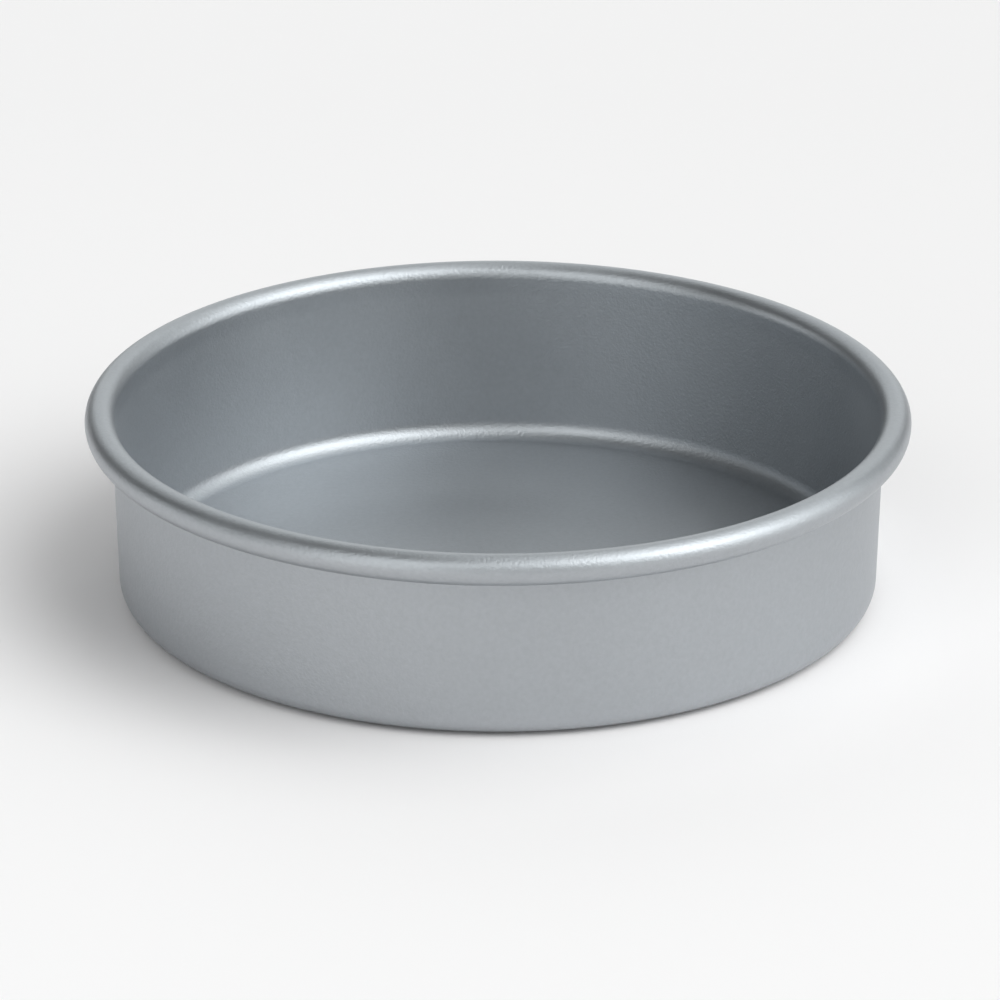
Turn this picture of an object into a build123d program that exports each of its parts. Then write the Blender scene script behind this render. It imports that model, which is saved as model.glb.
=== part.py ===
from build123d import *
from math import acos, asin, cos, degrees, radians, sin, tan
import os

# Round cake tin. Sizes are in millimetres and angles in degrees.
# The origin is on the table at the middle of the tin, with +Z up.

# The pressed sheet
mouth_diameter = 203.2
tin_height = 52.7
sheet = 1.0
wall_flare = 1.5
foot_inner_radius = 5.2
foot_outer_radius = 3.8

# The floor is flat in the middle and rises a little towards the foot
floor_flat_radius = 62.0
floor_rise = 1.0
floor_bend_radius = 300.0

# The wire in the rim, and the roll of sheet round it
wire_diameter = 5.6
wire_clearance = 0.25
tuck_clearance = 0.2
butt_gap = 0.6
butt_azimuth = 90.0

# The bore of the roll clears the wire, and the sheet goes round the bore
bore_section = wire_diameter / 2 + wire_clearance
roll_section = bore_section + sheet
roll_radius = mouth_diameter / 2 + roll_section
roll_level = tin_height - roll_section


def roll_point(section, angle):
    """Point on a circle about the middle of the roll, at 0 outermost and at 90 on top."""
    radius = roll_radius + section * cos(radians(angle))
    level = roll_level + section * sin(radians(angle))
    return radius, level


def wall_foot(top, level):
    """Point at which the face of the wall through its top point comes down to a level."""
    drop = top[1] - level
    return top[0] - drop * tan(radians(wall_flare)), level


def tuck_angle(wall_face_radius):
    """Angle on the outside of the roll at which the sheet ends, just clear of the wall."""
    reach = roll_radius - wall_face_radius - tuck_clearance
    return 180 + degrees(acos(reach / roll_section))


def corner_at(section, point):
    """The corner of a section that lies nearest to a point given as radius and level."""
    return section.vertices().sort_by_distance(Vector(*point))[0]


def shell_section():
    """Half section of the pressed sheet, from the axis out to the tucked edge of the rim."""
    wall_angle = 180 - wall_flare
    inside_top = roll_point(roll_section, wall_angle)
    outside_top = roll_point(bore_section, wall_angle)
    inside_bend = (floor_flat_radius, sheet)
    outside_bend = (floor_flat_radius, 0)
    inside_foot = wall_foot(inside_top, floor_rise + sheet)
    outside_foot = wall_foot(outside_top, floor_rise)
    edge_angle = tuck_angle(outside_top[0]) - 360
    roll_middle = (roll_radius, roll_level)

    with BuildSketch(Plane.XZ) as section:
        with BuildLine():
            Polyline((0, sheet), (0, 0), outside_bend, outside_foot, outside_top)
            CenterArc(roll_middle, bore_section, wall_angle, edge_angle - wall_angle)
            Line(roll_point(bore_section, edge_angle), roll_point(roll_section, edge_angle))
            CenterArc(roll_middle, roll_section, edge_angle, wall_angle - edge_angle)
            Polyline(inside_top, inside_foot, inside_bend, (0, sheet))
        make_face()
        fillet(corner_at(section, inside_bend), floor_bend_radius)
        fillet(corner_at(section, outside_bend), floor_bend_radius)
        fillet(corner_at(section, inside_foot), foot_inner_radius)
        fillet(corner_at(section, outside_foot), foot_outer_radius)
    return section.sketch


def make_tin_shell():
    """Floor, wall and rolled rim, pressed from one round of sheet."""
    with BuildPart() as shell:
        revolve(shell_section(), axis=Axis.Z)
    return shell.part


def make_rim_wire():
    """Round wire bent to a hoop, its two ends butted behind the tin."""
    gap_angle = 2 * degrees(asin(butt_gap / 2 / roll_radius))
    with BuildPart() as wire:
        with BuildSketch(Plane.XZ):
            with Locations((roll_radius, roll_level)):
                Circle(wire_diameter / 2)
        revolve(axis=Axis.Z, revolution_arc=360 - gap_angle)
    return Rot(0, 0, butt_azimuth + gap_angle / 2) * wire.part


def main():
    """Write each piece of the tin to a file of its own."""
    os.makedirs("parts", exist_ok=True)
    pieces = {
        "tin_shell": make_tin_shell(),
        "rim_wire": make_rim_wire(),
    }
    for name, piece in pieces.items():
        export_step(piece, f"parts/{name}.step")
        print(name, "volume", round(piece.volume, 1), "valid", piece.is_valid)


if __name__ == "__main__":
    main()
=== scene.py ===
"""Round cake tin: the looks of the pressed shell and its rim wire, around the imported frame."""

import logging
import math
from dataclasses import dataclass
from enum import Enum
from functools import cache
from typing import ClassVar

import bpy
from mathutils import Euler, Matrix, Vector


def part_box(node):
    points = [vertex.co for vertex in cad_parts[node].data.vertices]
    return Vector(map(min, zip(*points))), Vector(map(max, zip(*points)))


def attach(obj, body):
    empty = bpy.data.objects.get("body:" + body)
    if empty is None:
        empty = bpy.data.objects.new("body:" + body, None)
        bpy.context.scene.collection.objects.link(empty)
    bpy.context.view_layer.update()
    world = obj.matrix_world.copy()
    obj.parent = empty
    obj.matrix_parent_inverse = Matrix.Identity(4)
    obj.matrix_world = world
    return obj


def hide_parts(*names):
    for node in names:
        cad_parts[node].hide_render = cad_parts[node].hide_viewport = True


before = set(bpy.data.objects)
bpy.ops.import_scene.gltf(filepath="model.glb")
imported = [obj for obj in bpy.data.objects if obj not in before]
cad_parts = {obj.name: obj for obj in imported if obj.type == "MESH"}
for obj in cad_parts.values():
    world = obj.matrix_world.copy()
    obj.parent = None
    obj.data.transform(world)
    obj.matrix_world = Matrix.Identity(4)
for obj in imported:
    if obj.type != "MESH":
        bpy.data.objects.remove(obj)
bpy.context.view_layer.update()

BODY = "root"

# Edges that turn by less than this many degrees are shaded smooth
SMOOTH_DEGREES = 40

# Points closer than this, in metres, are one point
MERGE_DISTANCE = 0.00001

Point = tuple[float, float]
Colour = tuple[float, float, float]
Feed = float | tuple[float, ...] | Vector | bpy.types.NodeSocket

log = logging.getLogger("cake_tin")


class Slot(Enum):
    """Material slots of the record."""

    SILVER_COAT = "silver_coat"
    WIRE_STEEL = "wire_steel"


@dataclass(frozen=True)
class TinSizes:
    """Sizes of the tin in metres and degrees: the first four from the frame, the rest as in the CAD."""

    rim_radius: float
    roll_radius: float
    roll_level: float
    wire_radius: float
    sheet: float = 0.0010
    wall_flare: float = 1.5
    foot_inner_radius: float = 0.0052
    foot_outer_radius: float = 0.0038
    floor_flat_radius: float = 0.062
    floor_rise: float = 0.0010
    floor_bend_radius: float = 0.300
    butt_gap: float = 0.0006
    butt_azimuth: float = 90.0
    tuck_clearance: float = 0.0002

    @classmethod
    def from_frame(cls) -> "TinSizes":
        """Works out the driving sizes from the boxes of the CAD nodes.

        Returns:
            The sizes of the tin.
        """
        _, shell_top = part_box("tin_shell")
        wire_low, wire_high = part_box("rim_wire")
        wire_radius = (wire_high.z - wire_low.z) / 2
        return cls(
            rim_radius=shell_top.x,
            roll_radius=wire_high.x - wire_radius,
            roll_level=(wire_high.z + wire_low.z) / 2,
            wire_radius=wire_radius,
        )

    @property
    def roll_section(self) -> float:
        """Radius of the roll's round section, outside the sheet."""
        return self.rim_radius - self.roll_radius


def select_nothing() -> None:
    """Leaves no object selected, so that an operator acts on the new piece alone."""
    if bpy.context.object and bpy.context.object.mode != "OBJECT":
        bpy.ops.object.mode_set(mode="OBJECT")
    bpy.ops.object.select_all(action="DESELECT")


def name_piece(name: str) -> bpy.types.Object:
    """Names the new piece and its mesh, and puts its place into the mesh.

    Args:
        name: the piece's name.

    Returns:
        The piece.
    """
    piece = bpy.context.object
    piece.name = name
    piece.data.name = name
    bpy.ops.object.transform_apply(location=True, rotation=True)
    return piece


def spin_section(turns: int, sweep: float) -> None:
    """Spins the section that is in edit mode round the tin's axis, and closes and smooths it.

    Args:
        turns: how many steps the spin takes.
        sweep: how far it goes, in radians.
    """
    bpy.ops.mesh.select_all(action="SELECT")
    bpy.ops.mesh.spin(steps=turns, angle=sweep, center=(0, 0, 0), axis=(0, 0, 1))
    bpy.ops.mesh.select_all(action="SELECT")
    bpy.ops.mesh.remove_doubles(threshold=MERGE_DISTANCE)
    bpy.ops.mesh.normals_make_consistent(inside=False)
    bpy.ops.object.mode_set(mode="OBJECT")
    bpy.ops.object.shade_smooth_by_angle(angle=math.radians(SMOOTH_DEGREES))


def arc_points(centre: Point, radius: float, start: float, end: float, steps: int) -> list[Point]:
    """Points round an arc of the half section, both ends among them.

    Args:
        centre: the arc's middle, as radius and level.
        radius: the arc's own radius.
        start: degrees at the first point, 0 outwards and 90 up.
        end: degrees at the last point.
        steps: how many pieces the arc is cut into.

    Returns:
        The points, as radius and level.
    """
    points = []
    for step in range(steps + 1):
        turn = math.radians(start + (end - start) * step / steps)
        points.append((centre[0] + radius * math.cos(turn), centre[1] + radius * math.sin(turn)))
    return points


def line_points(start: Point, end: Point, steps: int) -> list[Point]:
    """Points along a straight of the half section, without its two ends.

    Args:
        start: the first end, as radius and level.
        end: the last end.
        steps: how many pieces the straight is cut into.

    Returns:
        The points between the ends.
    """
    shares = [step / steps for step in range(1, steps)]
    return [(start[0] + (end[0] - start[0]) * t, start[1] + (end[1] - start[1]) * t) for t in shares]


@dataclass
class PressedShell:
    """The one piece of sheet: crowned floor, rounded foot, leaning wall and rolled rim."""

    sizes: TinSizes
    name: str = "pressed_shell"
    turns: int = 384
    foot_steps: int = 16
    wall_steps: int = 12
    roll_steps: int = 52
    bend_steps: int = 8
    floor_steps: int = 6

    def cup(self, wall_top: Point, floor_level: float, foot_radius: float) -> list[Point]:
        """One face of the cup, from the axis out over the foot and up the wall.

        Args:
            wall_top: where this face of the wall ends.
            floor_level: level of this face of the floor, in its flat middle.
            foot_radius: radius of this face of the foot.

        Returns:
            The points of the half section, as radius and level, without the top of the wall.
        """
        s = self.sizes
        flare = math.radians(s.wall_flare)
        meet_level = floor_level + s.floor_rise
        meet_radius = wall_top[0] - (wall_top[1] - meet_level) * math.tan(flare)
        slope = math.atan2(s.floor_rise, meet_radius - s.floor_flat_radius)
        back = foot_radius / math.tan((math.pi / 2 + slope + flare) / 2)
        foot_centre = (
            meet_radius - back * math.cos(slope) - foot_radius * math.sin(slope),
            meet_level - back * math.sin(slope) + foot_radius * math.cos(slope),
        )
        bend_start = s.floor_flat_radius - s.floor_bend_radius * math.tan(slope / 2)
        bend_centre = (bend_start, floor_level + s.floor_bend_radius)
        rise = math.degrees(slope) - 90
        bend = arc_points(bend_centre, s.floor_bend_radius, -90, rise, self.bend_steps)
        foot = arc_points(foot_centre, foot_radius, rise, -s.wall_flare, self.foot_steps)
        middle = (0.0, floor_level)
        flat = [middle] + line_points(middle, bend[0], self.floor_steps)
        slant = line_points(bend[-1], foot[0], self.floor_steps)
        wall = line_points(foot[-1], wall_top, self.wall_steps)
        return flat + bend + slant + foot + wall

    def profile(self) -> list[Point]:
        """Half section of the sheet: its inner face out to the tucked edge, then back.

        Returns:
            The points of the half section, as radius and level.
        """
        s = self.sizes
        bore = s.roll_section - s.sheet
        middle = (s.roll_radius, s.roll_level)
        wall_angle = 180 - s.wall_flare
        wall_top_radius = s.roll_radius + bore * math.cos(math.radians(wall_angle))
        reach = (s.roll_radius - wall_top_radius - s.tuck_clearance) / s.roll_section
        tuck_angle = -180 + math.degrees(math.acos(reach))
        roll = arc_points(middle, s.roll_section, wall_angle, tuck_angle, self.roll_steps)
        lining = arc_points(middle, bore, tuck_angle, wall_angle, self.roll_steps)
        inner = self.cup(roll[0], s.sheet, s.foot_inner_radius)
        outer = self.cup(lining[-1], 0.0, s.foot_outer_radius)
        return inner + roll + lining + outer[::-1]

    def build(self) -> bpy.types.Object:
        """Draws the half section point by point and spins it round the axis.

        Returns:
            The finished shell.
        """
        points = self.profile()
        select_nothing()
        bpy.ops.mesh.primitive_plane_add(size=self.sizes.sheet, location=(0, 0, points[0][1]))
        shell = name_piece(self.name)
        bpy.ops.object.mode_set(mode="EDIT")
        bpy.ops.mesh.select_mode(type="VERT")
        bpy.ops.mesh.select_all(action="SELECT")
        bpy.ops.mesh.merge(type="CENTER")
        for start, end in zip(points, points[1:]):
            step = (end[0] - start[0], 0, end[1] - start[1])
            bpy.ops.mesh.extrude_region_move(TRANSFORM_OT_translate={"value": step})
        spin_section(self.turns, math.tau)
        return shell


@dataclass
class RimWire:
    """The round wire hoop inside the rim, its two ends butted behind the tin."""

    sizes: TinSizes
    name: str = "wire_hoop"
    sides: int = 40
    turns: int = 240

    def build(self) -> bpy.types.Object:
        """Draws the wire's round section and spins it round the axis, all but the butt gap.

        Returns:
            The finished hoop.
        """
        s = self.sizes
        gap_angle = 2 * math.asin(s.butt_gap / 2 / s.roll_radius)
        start = math.radians(s.butt_azimuth) + gap_angle / 2
        select_nothing()
        bpy.ops.mesh.primitive_circle_add(
            vertices=self.sides,
            radius=s.wire_radius,
            fill_type="NGON",
            location=(s.roll_radius * math.cos(start), s.roll_radius * math.sin(start), s.roll_level),
            rotation=(math.pi / 2, 0, start),
        )
        wire = name_piece(self.name)
        bpy.ops.object.mode_set(mode="EDIT")
        spin_section(self.turns, math.tau - gap_angle)
        return wire


@dataclass
class Camera:
    """The photograph's camera, a long lens, fitted to the outlines of the rim, wall and foot."""

    rim_radius: float
    elevation: float = 22.53
    roll: float = 0.0974
    distance_in_radii: float = 14.2586
    aim_right_in_radii: float = 0.00497
    aim_up_in_radii: float = 0.21533
    lens: float = 210.5

    def place(self) -> bpy.types.Object:
        """Adds the camera and makes it the scene's.

        Returns:
            The camera.
        """
        tilt = math.radians(self.elevation)
        back = Vector((0, -math.cos(tilt), math.sin(tilt)))
        aim = Vector((self.aim_right_in_radii, 0, self.aim_up_in_radii)) * self.rim_radius
        camera = bpy.data.objects.new("camera", bpy.data.cameras.new("camera"))
        camera.data.lens = self.lens
        camera.location = aim + back * self.distance_in_radii * self.rim_radius
        level = Euler((math.pi / 2 - tilt, 0, 0)).to_matrix()
        turn = Euler((0, 0, math.radians(self.roll))).to_matrix()
        camera.rotation_euler = (level @ turn).to_euler()
        bpy.context.scene.collection.objects.link(camera)
        bpy.context.scene.camera = camera
        return camera


def feed(tree: bpy.types.NodeTree, socket: bpy.types.NodeSocket, value: Feed) -> None:
    """Sets a node's input, or links what feeds it.

    Args:
        tree: the nodes.
        socket: the input.
        value: its value, or the socket that feeds it.
    """
    if isinstance(value, bpy.types.NodeSocket):
        tree.links.new(value, socket)
    else:
        socket.default_value = value


def calculate(tree: bpy.types.NodeTree, operation: str, *values: Feed) -> bpy.types.NodeSocket:
    """Adds a sum on numbers.

    Args:
        tree: the nodes.
        operation: what it does, as Blender names it.
        values: what it works on, in order.

    Returns:
        The result.
    """
    node = tree.nodes.new("ShaderNodeMath")
    node.operation = operation
    for socket, value in zip(node.inputs, values):
        feed(tree, socket, value)
    return node.outputs[0]


def vector_node(tree: bpy.types.NodeTree, operation: str, *values: Feed) -> bpy.types.Node:
    """Adds a sum on vectors.

    Args:
        tree: the nodes.
        operation: what it does, as Blender names it.
        values: what it works on, in order.

    Returns:
        The node, whose Vector or Value is the result.
    """
    node = tree.nodes.new("ShaderNodeVectorMath")
    node.operation = operation
    for socket, value in zip(node.inputs, values):
        feed(tree, socket, value)
    return node


def axis_distance(tree: bpy.types.NodeTree, place: bpy.types.NodeSocket) -> bpy.types.NodeSocket:
    """Works out how far a place is from the tin's axis.

    Args:
        tree: the nodes.
        place: the place.

    Returns:
        The distance.
    """
    flat = vector_node(tree, "MULTIPLY", place, (1, 1, 0))
    return vector_node(tree, "LENGTH", flat.outputs["Vector"]).outputs["Value"]


def map_range(
    tree: bpy.types.NodeTree, value: bpy.types.NodeSocket, source: Point, target: Point, eased: bool = False
) -> bpy.types.NodeSocket:
    """Maps a value from one range to another, and holds it at the ends.

    Args:
        tree: the nodes.
        value: the value.
        source: the two ends of the range that it comes from.
        target: what each end becomes.
        eased: whether it sets out and arrives softly.

    Returns:
        The mapped value.
    """
    node = tree.nodes.new("ShaderNodeMapRange")
    node.interpolation_type = "SMOOTHSTEP" if eased else "LINEAR"
    for name, end in zip(("From Min", "From Max", "To Min", "To Max"), source + target):
        node.inputs[name].default_value = end
    tree.links.new(value, node.inputs["Value"])
    return node.outputs["Result"]


def add_group(
    tree: bpy.types.NodeTree, group: bpy.types.NodeTree, values: dict[str, Feed]
) -> bpy.types.NodeOutputs:
    """Uses a node group in another tree.

    Args:
        tree: the nodes that it joins.
        group: the group.
        values: each input's value, or the socket that feeds it, by the input's name.

    Returns:
        The group's outputs.
    """
    node = tree.nodes.new("ShaderNodeGroup")
    node.node_tree = group
    for name, value in values.items():
        feed(tree, node.inputs[name], value)
    return node.outputs


@dataclass(frozen=True)
class Noise:
    """How much fine detail a noise has, and how strong that detail is."""

    detail: float
    roughness: float = 0.5


class NodeGroups:
    """Shader node groups of the finishes, each built once, and the start of any group."""

    bumps: Noise = Noise(2.0, 0.55)
    specks: Noise = Noise(1.0)
    drift: Noise = Noise(3.0)
    speck_scale: float = 0.6
    bend_fade: float = 0.0012

    @staticmethod
    def start(
        name: str, vectors: tuple[str, ...], values: tuple[str, ...], results: tuple[str, ...]
    ) -> tuple[bpy.types.NodeTree, bpy.types.NodeOutputs, bpy.types.NodeInputs]:
        """Starts a group.

        Args:
            name: the group's name.
            vectors: the names of its vector inputs.
            values: the names of its number inputs.
            results: the names of its outputs, all numbers.

        Returns:
            The group, what its inputs give, and the sockets that take its results.
        """
        group = bpy.data.node_groups.new(name, "ShaderNodeTree")
        for vector in vectors:
            group.interface.new_socket(vector, in_out="INPUT", socket_type="NodeSocketVector")
        for value in values:
            group.interface.new_socket(value, in_out="INPUT", socket_type="NodeSocketFloat")
        for result in results:
            group.interface.new_socket(result, in_out="OUTPUT", socket_type="NodeSocketFloat")
        given = group.nodes.new("NodeGroupInput").outputs
        taken = group.nodes.new("NodeGroupOutput").inputs
        return group, given, taken

    @classmethod
    @cache
    def grain(cls) -> bpy.types.NodeTree:
        """Fine grain of a surface: small bumps, larger specks and a slow drift.

        Returns:
            The group, with inputs Place, Bump Scale and Drift Scale and outputs Height,
            Speck and Drift, all from 0 to 1.
        """
        group, given, taken = cls.start(
            "surface_grain", ("Place",), ("Bump Scale", "Drift Scale"), ("Height", "Speck", "Drift")
        )
        speck_scale = calculate(group, "MULTIPLY", given["Bump Scale"], cls.speck_scale)
        for name, scale, noise in (
            ("Height", given["Bump Scale"], cls.bumps),
            ("Speck", speck_scale, cls.specks),
            ("Drift", given["Drift Scale"], cls.drift),
        ):
            texture = group.nodes.new("ShaderNodeTexNoise")
            texture.inputs["Detail"].default_value = noise.detail
            texture.inputs["Roughness"].default_value = noise.roughness
            group.links.new(given["Place"], texture.inputs["Vector"])
            group.links.new(scale, texture.inputs["Scale"])
            group.links.new(texture.outputs["Fac"], taken[name])
        return group

    @classmethod
    @cache
    def tight_bends(cls) -> bpy.types.NodeTree:
        """Where the sheet is bent tight: round the rolled rim and the foot corner.

        Returns:
            The group, with inputs Place, Rim Level, Foot Level and Foot Radius and the
            output Mask, 1 on the bends and 0 on the floor and the wall.
        """
        group, given, taken = cls.start(
            "tight_bends", ("Place",), ("Rim Level", "Foot Level", "Foot Radius"), ("Mask",)
        )
        parts = group.nodes.new("ShaderNodeSeparateXYZ")
        group.links.new(given["Place"], parts.inputs[0])
        level = parts.outputs["Z"]
        rising = (-cls.bend_fade, cls.bend_fade)
        falling = (cls.bend_fade, -cls.bend_fade)
        past = {}
        for name, value, edge in (
            ("Rim Level", level, rising),
            ("Foot Level", level, falling),
            ("Foot Radius", axis_distance(group, given["Place"]), rising),
        ):
            over = calculate(group, "SUBTRACT", value, given[name])
            past[name] = map_range(group, over, edge, (0, 1), eased=True)
        foot = calculate(group, "MULTIPLY", past["Foot Level"], past["Foot Radius"])
        group.links.new(calculate(group, "MAXIMUM", past["Rim Level"], foot), taken["Mask"])
        return group


@dataclass(frozen=True)
class MetalFinish:
    """What the two metals share: a grain in their tone, their gloss and their relief."""

    name: str
    roughness: float
    roughness_spread: float
    grain_per_metre: float
    drift_per_metre: float
    bump_depth: float
    bump_strength: float
    noise_middle: Point = (0.3, 0.7)

    def start(self) -> tuple[bpy.types.Material, bpy.types.NodeTree, bpy.types.NodeInputs]:
        """Starts the material.

        Returns:
            The material, its nodes and the inputs of its shader.
        """
        made = bpy.data.materials.new(self.name)
        made.use_nodes = True
        surface = made.node_tree.nodes["Principled BSDF"].inputs
        surface["Metallic"].default_value = 1
        return made, made.node_tree, surface

    def grain(self, tree: bpy.types.NodeTree, place: bpy.types.NodeSocket) -> bpy.types.NodeOutputs:
        """Adds the metal's grain.

        Args:
            tree: the material's nodes.
            place: where on the piece the grain is read.

        Returns:
            The grain's Height, Speck and Drift.
        """
        scales = {"Bump Scale": self.grain_per_metre, "Drift Scale": self.drift_per_metre}
        return add_group(tree, NodeGroups.grain(), {"Place": place, **scales})

    def tone(
        self, tree: bpy.types.NodeTree, value: bpy.types.NodeSocket, dark: Colour, light: Colour
    ) -> bpy.types.NodeSocket:
        """Spreads a noise's middle range from a dark to a light tone.

        Args:
            tree: the material's nodes.
            value: the noise.
            dark: the dark tone.
            light: the light tone.

        Returns:
            The colour.
        """
        paint = tree.nodes.new("ShaderNodeMix")
        paint.data_type = "RGBA"
        paint.inputs["A"].default_value = (*dark, 1)
        paint.inputs["B"].default_value = (*light, 1)
        tree.links.new(map_range(tree, value, self.noise_middle, (0, 1)), paint.inputs["Factor"])
        return paint.outputs["Result"]

    def gloss(self, tree: bpy.types.NodeTree, value: bpy.types.NodeSocket) -> bpy.types.NodeSocket:
        """Spreads a noise's middle range over the metal's roughness.

        Args:
            tree: the material's nodes.
            value: the noise.

        Returns:
            The roughness.
        """
        span = (self.roughness - self.roughness_spread, self.roughness + self.roughness_spread)
        return map_range(tree, value, self.noise_middle, span)

    def relief(self, tree: bpy.types.NodeTree, height: bpy.types.NodeSocket) -> bpy.types.NodeSocket:
        """Turns the grain's height into relief.

        Args:
            tree: the material's nodes.
            height: the height, from 0 to 1.

        Returns:
            The normal.
        """
        bump = tree.nodes.new("ShaderNodeBump")
        bump.inputs["Strength"].default_value = self.bump_strength
        bump.inputs["Distance"].default_value = self.bump_depth
        tree.links.new(height, bump.inputs["Height"])
        return bump.outputs["Normal"]


@dataclass(frozen=True)
class SatinCoat(MetalFinish):
    """Satin silver-grey metallic coat with a fine grain, burnished where the sheet is bent tight.

    The bends are above the rim level, and below the foot level outside the foot radius.
    """

    name: str = "satin_coat"
    roughness: float = 0.49
    roughness_spread: float = 0.04
    grain_per_metre: float = 1300.0
    drift_per_metre: float = 22.0
    bump_depth: float = 0.00026
    bump_strength: float = 0.40
    colour: Colour = (0.432, 0.452, 0.474)
    colour_spread: float = 0.045
    speck_share: float = 0.5
    bend_roughness: float = 0.44
    rim_level: float = 0.0446
    foot_level: float = 0.0066
    foot_radius: float = 0.0955

    def material(self) -> bpy.types.Material:
        """Makes the coat's material.

        Returns:
            The material.
        """
        made, tree, surface = self.start()
        place = tree.nodes.new("ShaderNodeTexCoord").outputs["Object"]
        grain = self.grain(tree, place)

        drifting = calculate(tree, "MULTIPLY", grain["Drift"], 1 - self.speck_share)
        mixed = calculate(tree, "MULTIPLY_ADD", grain["Speck"], self.speck_share, drifting)
        dark = tuple(part * (1 - self.colour_spread) for part in self.colour)
        light = tuple(part * (1 + self.colour_spread) for part in self.colour)
        tree.links.new(self.tone(tree, mixed, dark, light), surface["Base Color"])

        edges = {"Rim Level": self.rim_level, "Foot Level": self.foot_level, "Foot Radius": self.foot_radius}
        bends = add_group(tree, NodeGroups.tight_bends(), {"Place": place, **edges})
        gloss = self.gloss(tree, grain["Drift"])
        burnish = self.bend_roughness - self.roughness
        tree.links.new(calculate(tree, "MULTIPLY_ADD", bends["Mask"], burnish, gloss), surface["Roughness"])
        tree.links.new(self.relief(tree, grain["Height"]), surface["Normal"])
        return made


@dataclass(frozen=True, kw_only=True)
class DrawnSteel(MetalFinish):
    """Bright steel wire, with fine die lines along its length and a little oil dulling."""

    name: str = "drawn_steel"
    roughness: float = 0.34
    roughness_spread: float = 0.08
    grain_per_metre: float = 4000.0
    drift_per_metre: float = 60.0
    bump_depth: float = 0.00002
    bump_strength: float = 0.35
    hoop_radius: float
    hoop_level: float
    dull: Colour = (0.40, 0.40, 0.39)
    bright: Colour = (0.62, 0.62, 0.61)
    stretch: float = 60.0

    def along_wire(self, tree: bpy.types.NodeTree) -> bpy.types.NodeSocket:
        """Lays the hoop out straight, so that a pattern can run along it.

        Args:
            tree: the material's nodes.

        Returns:
            A vector: the way along the wire, shortened by the stretch, and the two places
            across its section.
        """
        place = tree.nodes.new("ShaderNodeTexCoord").outputs["Object"]
        parts = tree.nodes.new("ShaderNodeSeparateXYZ")
        tree.links.new(place, parts.inputs[0])
        turn = calculate(tree, "ARCTAN2", parts.outputs["Y"], parts.outputs["X"])
        laid = tree.nodes.new("ShaderNodeCombineXYZ")
        for name, way in (
            ("X", calculate(tree, "MULTIPLY", turn, self.hoop_radius / self.stretch)),
            ("Y", calculate(tree, "SUBTRACT", axis_distance(tree, place), self.hoop_radius)),
            ("Z", calculate(tree, "SUBTRACT", parts.outputs["Z"], self.hoop_level)),
        ):
            tree.links.new(way, laid.inputs[name])
        return laid.outputs[0]

    def material(self) -> bpy.types.Material:
        """Makes the wire's material.

        Returns:
            The material.
        """
        made, tree, surface = self.start()
        grain = self.grain(tree, self.along_wire(tree))
        tree.links.new(self.tone(tree, grain["Speck"], self.dull, self.bright), surface["Base Color"])
        tree.links.new(self.gloss(tree, grain["Drift"]), surface["Roughness"])
        tree.links.new(self.relief(tree, grain["Height"]), surface["Normal"])
        return made


@dataclass(frozen=True)
class SkyLight:
    """One light of the studio, far off in a direction given in degrees."""

    azimuth: float
    elevation: float
    size: float
    strength: float

    @classmethod
    def brightness(
        cls, tree: bpy.types.NodeTree, facing: bpy.types.NodeSocket, size: bpy.types.NodeSocket
    ) -> bpy.types.NodeSocket:
        """Works out how bright the light is in a direction; each kind of light has its own way.

        Args:
            tree: the group's nodes.
            facing: the cosine of the direction's angle from the light's centre.
            size: the light's size.

        Returns:
            The brightness, from 0 to 1.
        """
        raise NotImplementedError

    @classmethod
    @cache
    def group(cls) -> bpy.types.NodeTree:
        """Makes the node group that draws this kind of light and adds it to the others.

        Returns:
            The group, with inputs Direction, Centre, Size, Strength and Others and the
            output Light.
        """
        group, given, taken = NodeGroups.start(
            cls.__name__, ("Direction", "Centre"), ("Size", "Strength", "Others"), ("Light",)
        )
        facing = vector_node(group, "DOT_PRODUCT", given["Direction"], given["Centre"]).outputs["Value"]
        bright = cls.brightness(group, facing, given["Size"])
        total = calculate(group, "MULTIPLY_ADD", bright, given["Strength"], given["Others"])
        group.links.new(total, taken["Light"])
        return group

    def group_size(self) -> float:
        """The light's size, as its group takes it."""
        return self.size

    def centre(self) -> Vector:
        """Direction of the light's middle.

        Returns:
            A unit vector.
        """
        turn, rise = math.radians(self.azimuth), math.radians(self.elevation)
        flat = math.cos(rise)
        return Vector((flat * math.cos(turn), flat * math.sin(turn), math.sin(rise)))

    def shine(
        self, tree: bpy.types.NodeTree, direction: bpy.types.NodeSocket, others: Feed
    ) -> bpy.types.NodeSocket:
        """Adds the light to the sky.

        Args:
            tree: the sky's nodes.
            direction: the direction in which the sky is seen.
            others: the light that is there already.

        Returns:
            The light of both together.
        """
        own = {"Centre": self.centre(), "Size": self.group_size(), "Strength": self.strength}
        return add_group(tree, self.group(), {"Direction": direction, "Others": others, **own})["Light"]


class Glow(SkyLight):
    """A soft glow; its size is the sharpness with which it fades."""

    @classmethod
    def brightness(
        cls, tree: bpy.types.NodeTree, facing: bpy.types.NodeSocket, size: bpy.types.NodeSocket
    ) -> bpy.types.NodeSocket:
        """Fades from the centre on all sides.

        Args:
            tree: the group's nodes.
            facing: the cosine of the direction's angle from the glow's centre.
            size: the sharpness of the glow.

        Returns:
            The brightness, from 0 to 1.
        """
        away = calculate(tree, "SUBTRACT", facing, 1)
        return calculate(tree, "EXPONENT", calculate(tree, "MULTIPLY", away, size))


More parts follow.
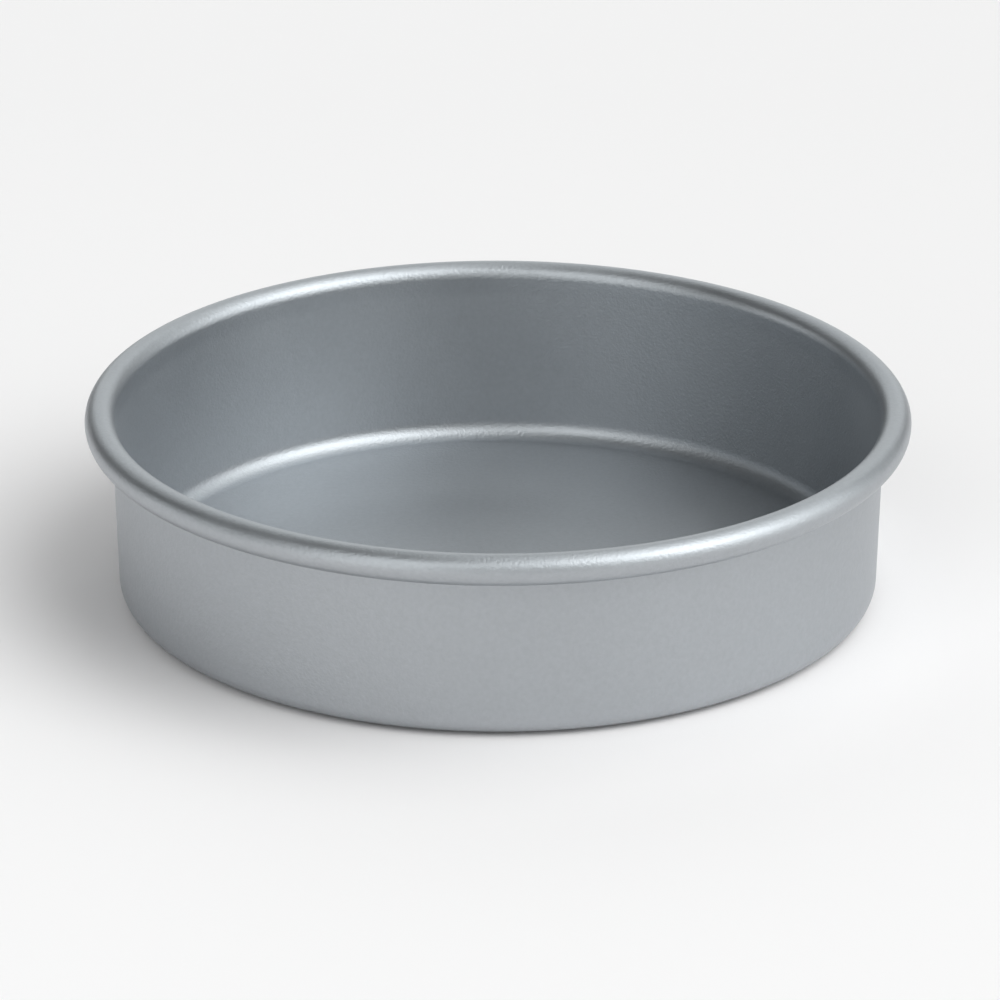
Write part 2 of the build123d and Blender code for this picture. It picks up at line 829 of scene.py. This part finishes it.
class Softbox(SkyLight):
    """A round softbox; its size is the angle in degrees from its middle to half brightness."""

    edge: ClassVar[Point] = (0.75, 1.25)

    @classmethod
    def brightness(
        cls, tree: bpy.types.NodeTree, facing: bpy.types.NodeSocket, size: bpy.types.NodeSocket
    ) -> bpy.types.NodeSocket:
        """Is even in the middle and fades over the edge, which is given in shares of the size.

        Args:
            tree: the group's nodes.
            facing: the cosine of the direction's angle from the softbox's centre.
            size: the angle in radians at half brightness.

        Returns:
            The brightness, from 0 to 1.
        """
        share = calculate(tree, "DIVIDE", calculate(tree, "ARCCOSINE", facing), size)
        return map_range(tree, share, cls.edge, (1, 0), eased=True)

    def group_size(self) -> float:
        """The softbox's size in radians."""
        return math.radians(self.size)


@dataclass
class Studio:
    """A pale table top and soft light, with the key at the front right, high up.

    The lights' values were rounded from a fit to the photograph, so they aren't
    independent of it.
    """

    floor_half: float = 30.0
    floor_level: float = -0.00002
    floor_colour: Colour = (0.86, 0.86, 0.86)
    # Painted light: the floor's colour is scaled up towards the camera and down away from it, where the
    # light falls off
    painted_light_from_y: float = -0.30
    painted_light_to_y: float = 0.40
    front_painted_light: float = 1.03
    rear_painted_light: float = 0.96
    light_colour: Colour = (0.975, 1.0, 1.0)
    fill: float = 0.06
    backdrop: float = 0.9
    key: SkyLight = Softbox(330, 50, 25, 2.5)
    window: SkyLight = Glow(345, 20, 4, 1.7)
    overhead: SkyLight = Softbox(50, 65, 20, 1.2)
    back: SkyLight = Softbox(85, 20, 25, 0.9)
    back_left: SkyLight = Softbox(120, 35, 15, 0.8)
    left_card: SkyLight = Softbox(175, 10, 15, 1.1)
    front_left: SkyLight = Softbox(240, 45, 18, 1.5)
    low_front: SkyLight = Glow(235, 5, 10, 1.8)

    @property
    def lights(self) -> tuple[SkyLight, ...]:
        """All the lights, from the right round the back to the front left.

        Returns:
            The lights.
        """
        right = (self.key, self.window)
        behind = (self.overhead, self.back, self.back_left)
        return right + behind + (self.left_card, self.front_left, self.low_front)

    def lay_floor(self) -> bpy.types.Object:
        """Lays the pale floor that the tin stands on.

        Returns:
            The floor.
        """
        select_nothing()
        bpy.ops.mesh.primitive_plane_add(size=2 * self.floor_half, location=(0, 0, self.floor_level))
        floor = name_piece("studio_floor")
        floor.data.materials.append(self.floor_paint())
        return floor

    def floor_paint(self) -> bpy.types.Material:
        """Makes the floor's matt paint, with painted light that brightens it towards the camera, clear from
        below.

        Returns:
            The material.
        """
        paint = bpy.data.materials.new("studio_floor")
        paint.use_nodes = True
        tree = paint.node_tree
        surface = tree.nodes["Principled BSDF"].inputs
        surface["Roughness"].default_value = 1
        surface["Specular IOR Level"].default_value = 0
        parts = tree.nodes.new("ShaderNodeSeparateXYZ")
        tree.links.new(tree.nodes.new("ShaderNodeTexCoord").outputs["Object"], parts.inputs[0])
        # Painted light: the floor's colour is brightened towards the camera and darkened away from it
        depth = (self.painted_light_from_y, self.painted_light_to_y)
        painted_falloff = map_range(tree, parts.outputs["Y"], depth, (self.front_painted_light, self.rear_painted_light))
        neutral = tuple(part / light for part, light in zip(self.floor_colour, self.light_colour))
        tint = vector_node(tree, "SCALE", neutral)
        tree.links.new(painted_falloff, tint.inputs["Scale"])
        tree.links.new(tint.outputs["Vector"], surface["Base Color"])
        below = tree.nodes.new("ShaderNodeNewGeometry").outputs["Backfacing"]
        tree.links.new(calculate(tree, "SUBTRACT", 1, below), surface["Alpha"])
        return paint

    def light(self) -> None:
        """Lights the studio with glows and softboxes on an even fill, and shows a pale sky."""
        world = bpy.data.worlds.new("studio")
        bpy.context.scene.world = world
        world.use_nodes = True
        tree = world.node_tree
        sky = tree.nodes["Background"].inputs
        sky["Color"].default_value = (*self.light_colour, 1)
        direction = tree.nodes.new("ShaderNodeTexCoord").outputs["Generated"]
        level: Feed = self.fill
        for light in self.lights:
            level = light.shine(tree, direction, level)
        path = tree.nodes.new("ShaderNodeLightPath")
        seen = tree.nodes.new("ShaderNodeMix")
        seen.inputs["B"].default_value = self.backdrop
        tree.links.new(path.outputs["Is Camera Ray"], seen.inputs["Factor"])
        tree.links.new(level, seen.inputs["A"])
        tree.links.new(seen.outputs["Result"], sky["Strength"])


def main() -> None:
    """Builds the tin piece by piece, then the studio round it."""
    logging.basicConfig(level=logging.INFO, format="%(name)s: %(message)s")
    sizes = TinSizes.from_frame()
    log.info("sizes %s", sizes)
    Camera(sizes.rim_radius).place()
    shell = PressedShell(sizes).build()
    shell.data.materials.append(SatinCoat().material())
    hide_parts("tin_shell")
    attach(shell, BODY)
    log.info("shell: %d faces", len(shell.data.polygons))
    wire = RimWire(sizes).build()
    steel = DrawnSteel(hoop_radius=sizes.roll_radius, hoop_level=sizes.roll_level)
    wire.data.materials.append(steel.material())
    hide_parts("rim_wire")
    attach(wire, BODY)
    log.info("wire: %d faces", len(wire.data.polygons))
    studio = Studio()
    studio.lay_floor()
    studio.light()
    bpy.context.scene.view_settings.view_transform = "Standard"


if __name__ == "__main__":
    main()
